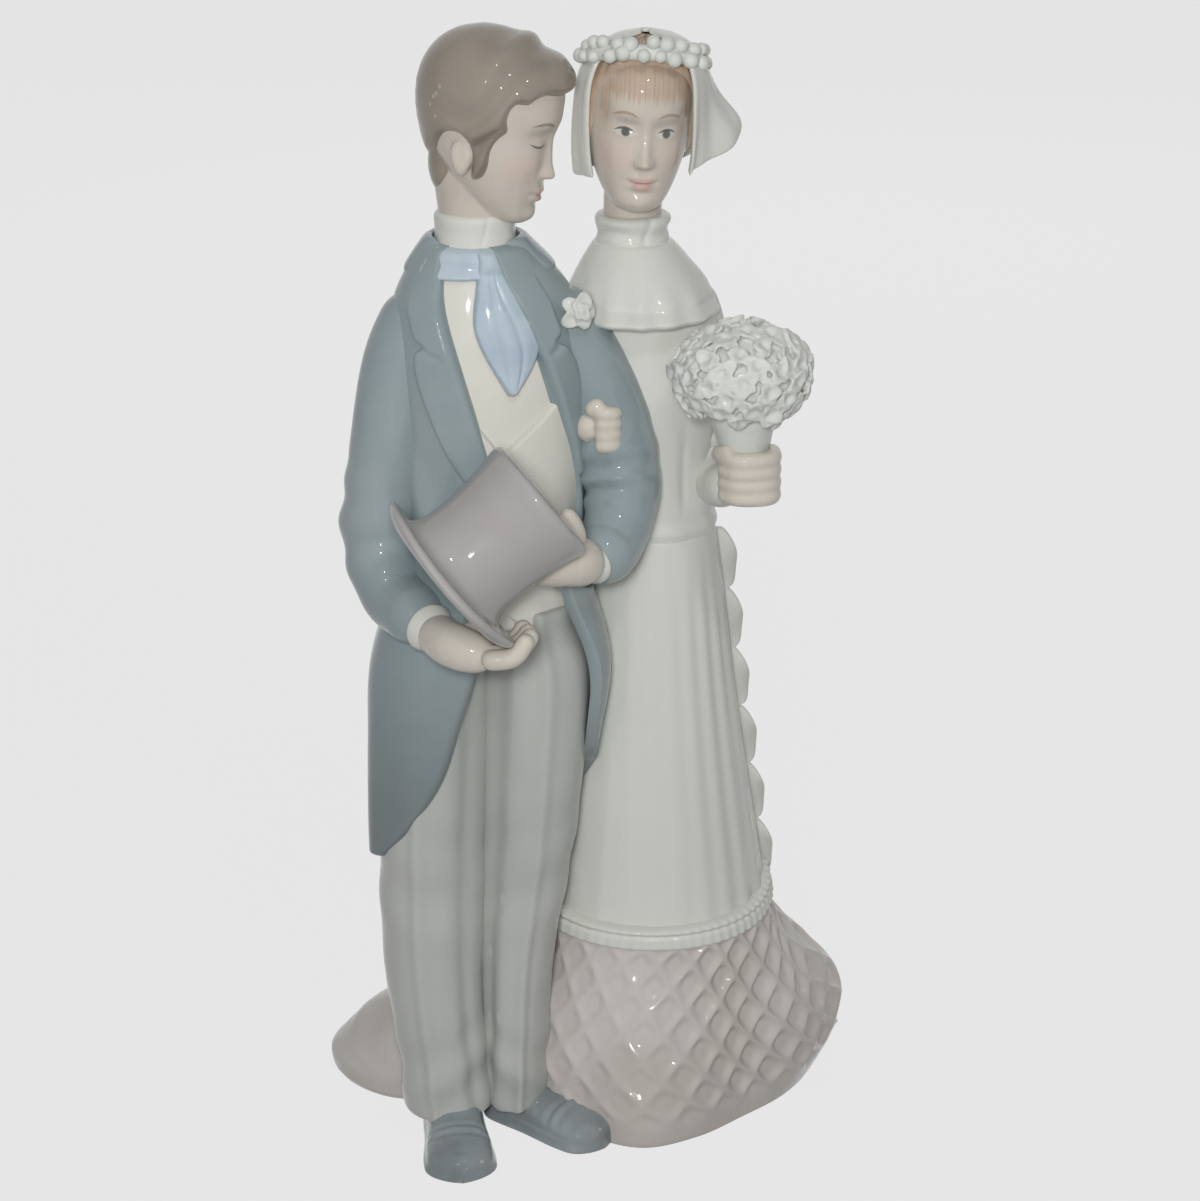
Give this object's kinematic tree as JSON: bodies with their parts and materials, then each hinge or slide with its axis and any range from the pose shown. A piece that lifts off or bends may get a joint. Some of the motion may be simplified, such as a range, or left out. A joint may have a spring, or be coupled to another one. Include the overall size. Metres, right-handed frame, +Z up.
{
  "type": "wedding couple figurine",
  "caption": "Glazed porcelain bride and groom: groom in tailcoat holding a top hat, bride with round bouquet, veil, pleated overskirt and quilted train.",
  "frame": {"origin": "on the table under the couple, inside the flat foot of the bride's train", "axes": "+Z up; -Y the side the couple shows; +X towards the bride, the viewer's right"},
  "size_m": [0.0949, 0.0885, 0.1951],
  "materials": {
    "white": "gloss",
    "cream": "gloss",
    "skin": "gloss",
    "coat_blue": "gloss",
    "cravat_blue": "gloss",
    "trouser_grey": "gloss",
    "shoe_blue": "gloss",
    "hat_taupe": "gloss",
    "hair_brown": "gloss",
    "hair_fair": "gloss",
    "quilt_mauve": "gloss"
  },
  "bodies": {
    "root": {"groom_shoe_right": "shoe_blue", "groom_shoe_left": "shoe_blue", "groom_trouser_leg_right": "trouser_grey", "groom_trouser_leg_left": "trouser_grey", "groom_shirt_front": "cream", "groom_coat_body": "coat_blue", "groom_waistcoat": "cream", "groom_coat_tail_right": "coat_blue", "groom_coat_tail_left": "coat_blue", "groom_lapel_right": "coat_blue", "groom_lapel_left": "coat_blue", "groom_sleeve_right": "coat_blue", "groom_sleeve_left": "coat_blue", "groom_cuff_right": "white", "groom_cuff_left": "white", "top_hat": "hat_taupe", "groom_hand_right": "skin", "groom_hand_left": "skin", "groom_head": "skin", "groom_shirt_collar": "white", "groom_cravat": "cravat_blue", "groom_hair": "hair_brown", "buttonhole_flower": "white", "bride_bodice": "white", "bride_head": "skin", "bride_neckband": "white", "bride_cape_collar": "white", "bride_hair": "hair_fair", "bride_headdress": "white", "bride_veil": "white", "bride_sleeve_left": "white", "bride_sleeve_right": "white", "bouquet_holder": "white", "bride_hand_left": "skin", "bouquet_blossoms": "white", "bride_hand_right": "skin", "bride_overskirt": "white", "bride_ruffle_left": "white", "bride_ruffle_right": "white", "bride_hem_frill": "white", "bride_skirt_back": "quilt_mauve", "bride_train": "quilt_mauve"}
  },
  "joints": []
}
